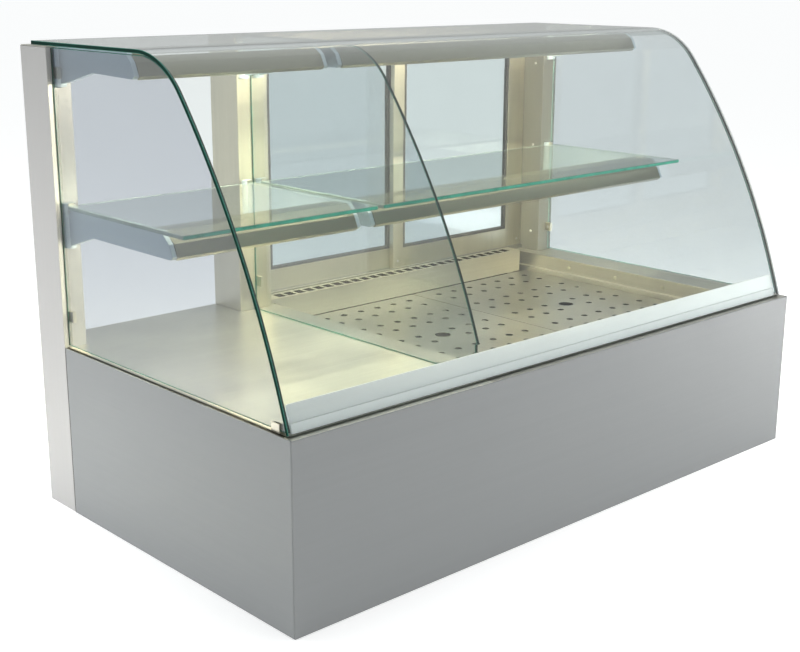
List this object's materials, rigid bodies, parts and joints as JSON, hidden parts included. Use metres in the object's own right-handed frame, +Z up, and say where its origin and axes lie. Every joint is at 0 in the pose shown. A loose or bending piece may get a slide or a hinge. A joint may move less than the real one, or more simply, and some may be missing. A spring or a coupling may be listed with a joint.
{
  "type": "hot food display case",
  "caption": "Countertop heated display case with a curved tilting glass front, plain deck, perforated well plates, glass shelves, lamp troughs and rear sliding doors.",
  "frame": {"origin": "centre of the footprint on the counter, at the underside of the base", "axes": "+Z up, -Y towards the customer, +X to the customer's right, along the case's length"},
  "size_m": [1.2, 0.68, 0.778],
  "materials": {
    "casing": "satin grey coated sheet",
    "steel": "brushed stainless sheet",
    "aluminium": "satin anodised",
    "bracket": "satin grey",
    "glass": "clear toughened glass with ground edges",
    "lamp_glass": "frosted warm lamp tube",
    "grip_plastic": "satin pale grey",
    "black_plastic": "fine grain",
    "lens": "clear amber",
    "insulation": "bonded mineral wool"
  },
  "bodies": {
    "cabinet": {"base_plate": "casing", "front_panel": "casing", "left_side_panel": "casing", "right_side_panel": "casing", "rear_panel": "casing", "rear_left_post": "steel", "rear_right_post": "steel", "centre_post": "steel", "deck_plate": "steel", "well_pan": "steel", "plate_support_bar": "steel", "air_duct": "steel", "duct_baffle": "steel", "heating_element": "steel", "left_roof_trough": "steel", "right_roof_trough": "steel", "left_shelf_trough": "steel", "right_shelf_trough": "steel", "control_plate": "steel", "front_sill": "aluminium", "left_foot_clip": "aluminium", "right_foot_clip": "aluminium", "bottom_door_track": "aluminium", "top_door_track": "aluminium", "left_roof_bracket": "bracket", "centre_left_roof_bracket": "bracket", "centre_right_roof_bracket": "bracket", "right_roof_bracket": "bracket", "left_shelf_bracket": "bracket", "centre_left_shelf_bracket": "bracket", "centre_right_shelf_bracket": "bracket", "right_shelf_bracket": "bracket", "left_end_glass": "glass", "partition_glass": "glass", "right_end_glass": "glass", "left_roof_lamp": "lamp_glass", "right_roof_lamp": "lamp_glass", "left_shelf_lamp": "lamp_glass", "right_shelf_lamp": "lamp_glass", "fan_housing": "black_plastic", "mains_gland": "black_plastic", "pilot_lamp": "lens", "well_insulation": "insulation"},
    "front_glass": {"front_glass": "glass", "glass_foot_profile": "aluminium"},
    "left_door": {"left_door_frame": "steel", "left_door_glass": "glass", "left_door_grip": "grip_plastic"},
    "right_door": {"right_door_frame": "steel", "right_door_glass": "glass", "right_door_grip": "grip_plastic"},
    "left_plate": {"left_perforated_plate": "steel"},
    "right_plate": {"right_perforated_plate": "steel"},
    "left_shelf": {"left_shelf": "glass"},
    "right_shelf": {"right_shelf": "glass"},
    "knob": {"thermostat_knob": "black_plastic"},
    "heat_rocker": {"heat_switch": "black_plastic"},
    "light_rocker": {"light_switch": "black_plastic"},
    "impeller": {"fan_impeller": "black_plastic"}
  },
  "joints": [
    {"name": "front_glass_tilt", "type": "hinge", "parent": "cabinet", "child": "front_glass", "pos_m": [0, -0.328, 0.2905], "axis": [1, 0, 0], "range_deg": [0, 55]},
    {"name": "left_door_slide", "type": "slide", "parent": "cabinet", "child": "left_door", "axis": [1, 0, 0], "range_m": [0, 0.27]},
    {"name": "right_door_slide", "type": "slide", "parent": "cabinet", "child": "right_door", "axis": [1, 0, 0], "range_m": [-0.27, 0]},
    {"name": "left_plate_lift", "type": "slide", "parent": "cabinet", "child": "left_plate", "axis": [0, 0, 1], "range_m": [0, 0.2]},
    {"name": "right_plate_lift", "type": "slide", "parent": "cabinet", "child": "right_plate", "axis": [0, 0, 1], "range_m": [0, 0.2]},
    {"name": "left_shelf_lift", "type": "slide", "parent": "cabinet", "child": "left_shelf", "axis": [0, 0, 1], "range_m": [0, 0.15]},
    {"name": "right_shelf_lift", "type": "slide", "parent": "cabinet", "child": "right_shelf", "axis": [0, 0, 1], "range_m": [0, 0.15]},
    {"name": "thermostat_turn", "type": "hinge", "parent": "cabinet", "child": "knob", "pos_m": [0.33, 0.317, 0.16], "axis": [0, 1, 0], "range_deg": [0, 270]},
    {"name": "heat_switch_rock", "type": "hinge", "parent": "cabinet", "child": "heat_rocker", "pos_m": [0.4, 0.315, 0.16], "axis": [1, 0, 0], "range_deg": [0, 14]},
    {"name": "light_switch_rock", "type": "hinge", "parent": "cabinet", "child": "light_rocker", "pos_m": [0.445, 0.315, 0.16], "axis": [1, 0, 0], "range_deg": [0, 14]},
    {"name": "fan_spin", "type": "hinge", "parent": "cabinet", "child": "impeller", "pos_m": [0.184, 0.24, 0.168], "axis": [0, 1, 0], "continuous": true}
  ]
}
